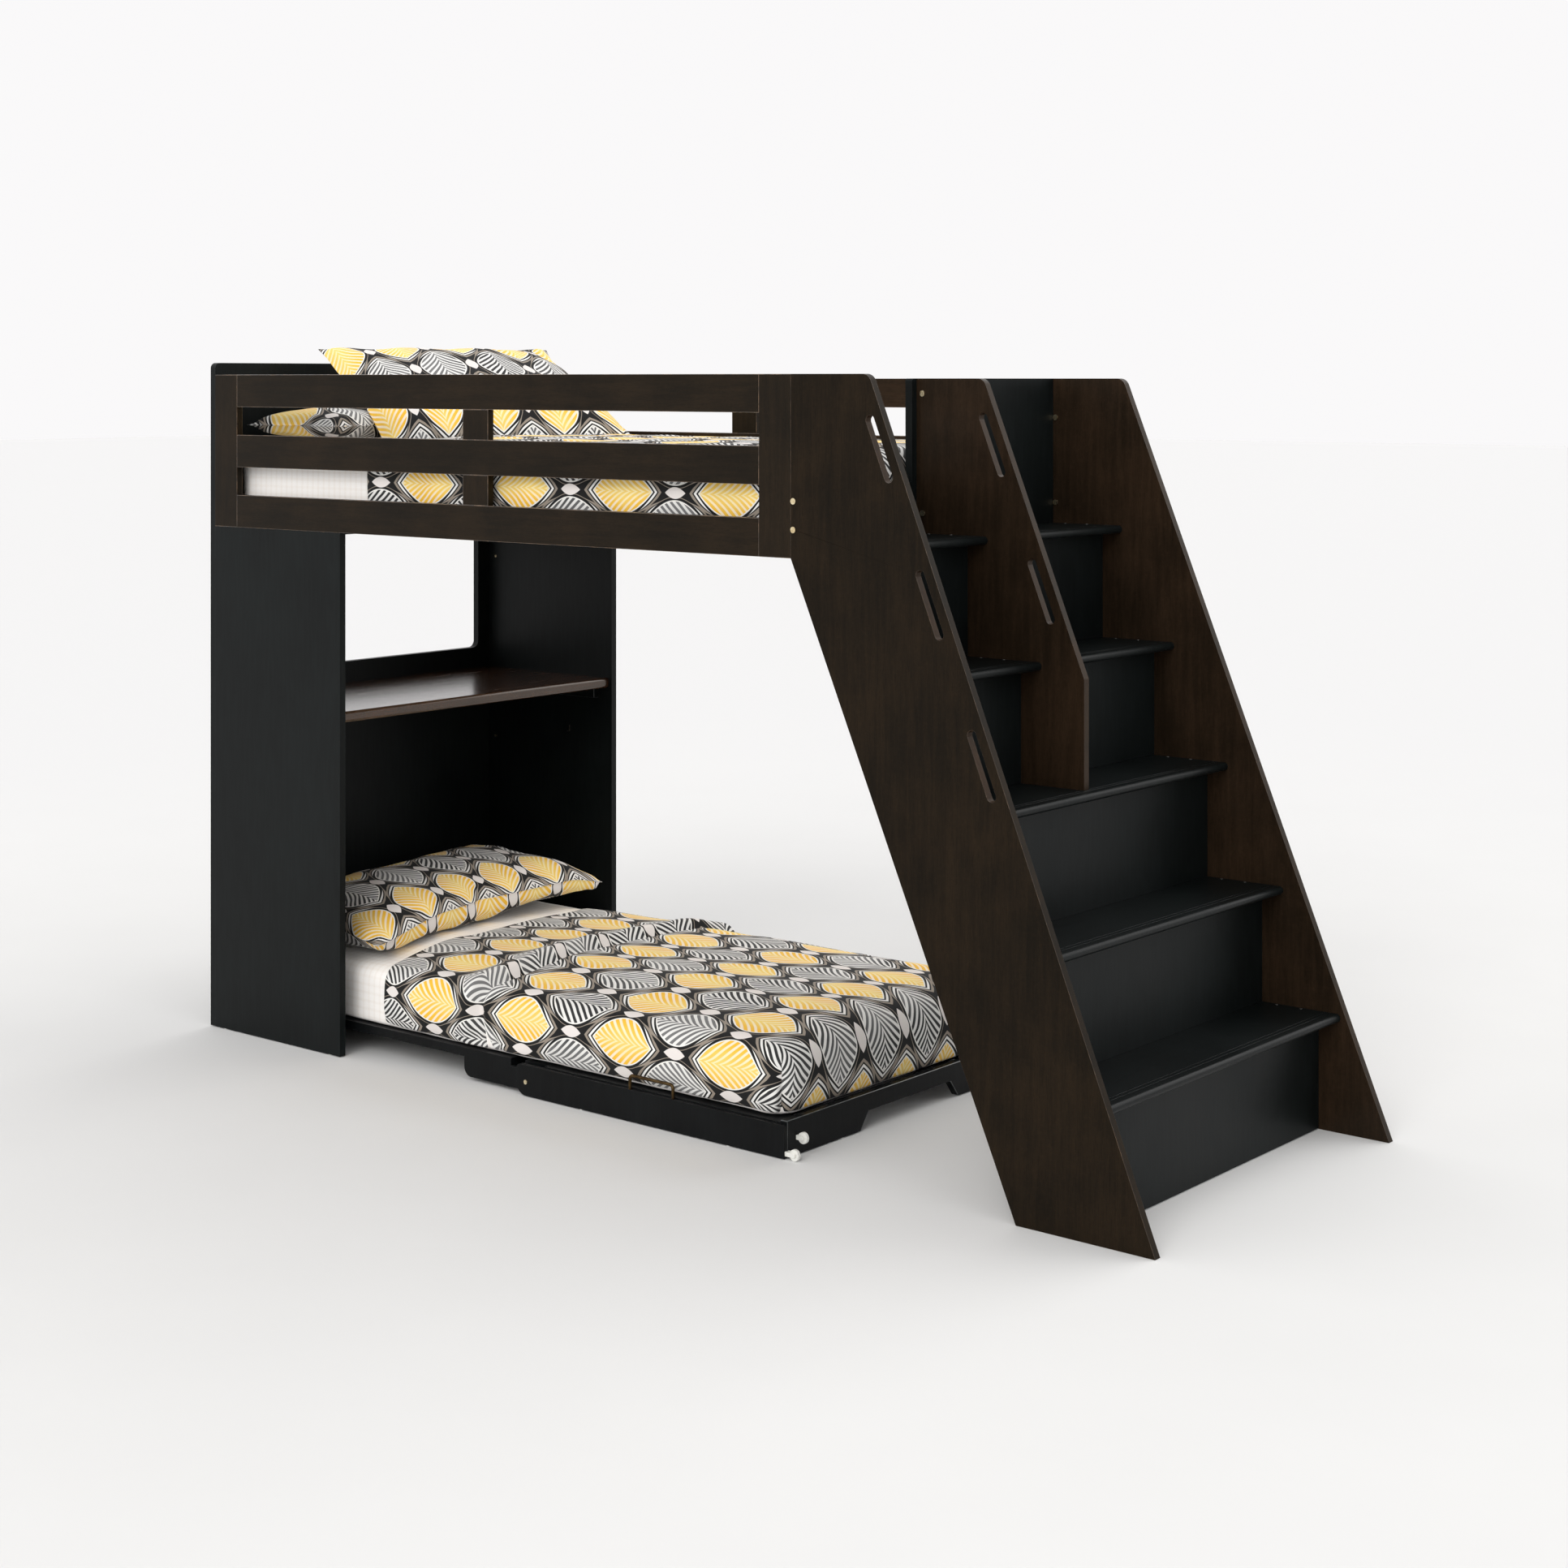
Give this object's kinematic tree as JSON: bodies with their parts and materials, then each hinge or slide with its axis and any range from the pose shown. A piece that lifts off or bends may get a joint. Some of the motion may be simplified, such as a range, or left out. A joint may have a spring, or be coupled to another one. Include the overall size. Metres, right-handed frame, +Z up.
{
  "type": "loft bunk bed with staircase and folding lower bed",
  "caption": "Loft bunk bed with a desk tower at the head, a boxed staircase with hand slots at the foot, and a low wheeled bed below that folds into a seat.",
  "frame": {"origin": "centre of the footprint's bounding box, on the floor", "axes": "+X from the head end towards the stairs, along the bed's length; +Y from the near side to the far side; +Z up"},
  "size_m": [2.94, 1.04, 1.8205],
  "materials": {
    "espresso_board": "dark brown satin lacquer over wood grain",
    "black_panel": "black satin lacquer",
    "black_rail": "black satin lacquer with rounded edges",
    "desk_board": "dark brown gloss lacquer",
    "slat_wood": "planed, unpainted softwood",
    "sheet_fabric": "cream woven cotton sheet with a faint check",
    "print_fabric": "printed cotton in black, yellow, grey and white",
    "bolt_brass": "brushed brass",
    "antique_brass": "antique brass",
    "screw_steel": "zinc plated",
    "white_nylon": "moulded white nylon"
  },
  "bodies": {
    "loft": {"head_end_panel": "black_panel", "near_tower_panel": "black_panel", "far_tower_panel": "black_panel", "desk_top": "desk_board", "desk_cleats": "black_panel", "near_guard_top_rail": "espresso_board", "near_guard_middle_rail": "espresso_board", "near_guard_bottom_rail": "espresso_board", "near_guard_left_stile": "espresso_board", "near_guard_right_stile": "espresso_board", "far_guard_rails": "espresso_board", "far_guard_stiles": "espresso_board", "guard_middle_posts": "espresso_board", "foot_rail": "black_panel", "foot_end_panel": "black_panel", "near_stringer": "espresso_board", "far_stringer": "espresso_board", "stair_divider": "espresso_board", "tread_1": "black_panel", "tread_2": "black_panel", "tread_3": "black_panel", "tread_4": "black_panel", "tread_5": "black_panel", "riser_1": "black_panel", "riser_2": "black_panel", "riser_3": "black_panel", "riser_4": "black_panel", "riser_5": "black_panel", "stair_cleats": "black_panel", "slat_ledgers": "slat_wood", "upper_slats": "slat_wood", "upper_mattress": "sheet_fabric", "upper_comforter": "print_fabric", "upper_pillow_flat": "print_fabric", "upper_pillow_propped": "print_fabric", "frame_bolts": "bolt_brass", "tread_screws": "screw_steel", "floor_glides": "white_nylon"},
    "seat_base": {"seat_near_rail": "black_rail", "seat_far_rail": "black_rail", "seat_end_board": "black_rail", "seat_slats": "black_rail", "seat_mattress": "sheet_fabric", "seat_comforter": "print_fabric", "fold_bedding": "print_fabric", "seat_pillow": "print_fabric", "pivot_bolts": "bolt_brass"},
    "fold_back": {"back_near_rail": "black_rail", "back_far_rail": "black_rail", "back_end_board": "black_rail", "back_slats": "black_rail", "back_mattress": "sheet_fabric", "back_comforter": "print_fabric", "retainer_handles": "antique_brass", "wheel_brackets": "white_nylon", "back_glides": "white_nylon"},
    "near_floor_wheel": {"near_floor_wheel": "white_nylon"},
    "far_floor_wheel": {"far_floor_wheel": "white_nylon"},
    "near_end_wheel": {"near_end_wheel": "white_nylon"},
    "far_end_wheel": {"far_end_wheel": "white_nylon"}
  },
  "joints": [
    {"name": "lower_bed_roll", "type": "slide", "parent": "loft", "child": "seat_base", "axis": [1, 0, 0], "range_m": [0, 0.5]},
    {"name": "back_fold", "type": "hinge", "parent": "seat_base", "child": "fold_back", "pos_m": [-0.322, 0, 0.0355], "axis": [0, -1, 0], "range_deg": [0, 90], "deforming": ["fold_bedding"]},
    {"name": "near_floor_wheel_spin", "type": "hinge", "parent": "fold_back", "child": "near_floor_wheel", "pos_m": [0.51, -0.463, 0.013], "axis": [0, 1, 0], "continuous": true},
    {"name": "far_floor_wheel_spin", "type": "hinge", "parent": "fold_back", "child": "far_floor_wheel", "pos_m": [0.51, 0.463, 0.013], "axis": [0, 1, 0], "continuous": true},
    {"name": "near_end_wheel_spin", "type": "hinge", "parent": "fold_back", "child": "near_end_wheel", "pos_m": [0.502, -0.423, 0.041], "axis": [0, 1, 0], "continuous": true},
    {"name": "far_end_wheel_spin", "type": "hinge", "parent": "fold_back", "child": "far_end_wheel", "pos_m": [0.502, 0.423, 0.041], "axis": [0, 1, 0], "continuous": true}
  ]
}
